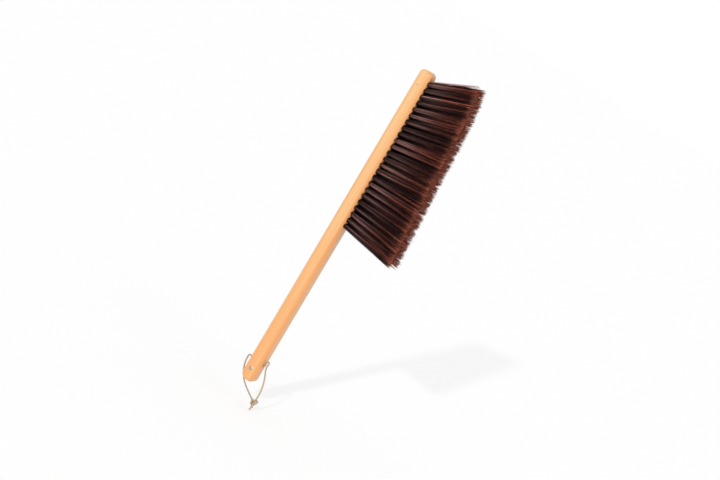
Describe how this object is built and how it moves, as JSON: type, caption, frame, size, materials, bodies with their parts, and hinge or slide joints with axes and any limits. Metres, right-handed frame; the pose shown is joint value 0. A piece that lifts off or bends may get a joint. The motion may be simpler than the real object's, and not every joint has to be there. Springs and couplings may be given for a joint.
{
  "type": "hand brush",
  "caption": "Straight wooden hand brush with rows of dark bristle tufts along its head, metal pins and a knotted hanging cord at the handle end.",
  "frame": {"origin": "on the flat side face, on the middle line of the bar's width, level with the cord hole's axis", "axes": "+Z along the bar from the hanging end to the head, +X towards the bristles, +Y out of the side face that holds the origin"},
  "size_m": [0.0841, 0.0288, 0.3973],
  "materials": {
    "wood": "satin",
    "bristle": "satin",
    "anchor_wire": "satin",
    "pin_metal": "satin",
    "cord": "matte"
  },
  "bodies": {
    "brush": {"wooden_body": "wood", "front_tuft_row": "bristle", "middle_tuft_row": "bristle", "rear_tuft_row": "bristle", "front_row_anchors": "anchor_wire", "middle_row_anchors": "anchor_wire", "rear_row_anchors": "anchor_wire", "handle_rivet": "pin_metal", "head_pin": "pin_metal"},
    "hanging_loop": {"hanging_cord": "cord"}
  },
  "joints": [
    {"name": "loop_swing", "type": "hinge", "parent": "brush", "child": "hanging_loop", "pos_m": [0, -0.009, 0], "axis": [1, 0, 0], "range_deg": [-145, 145]}
  ]
}
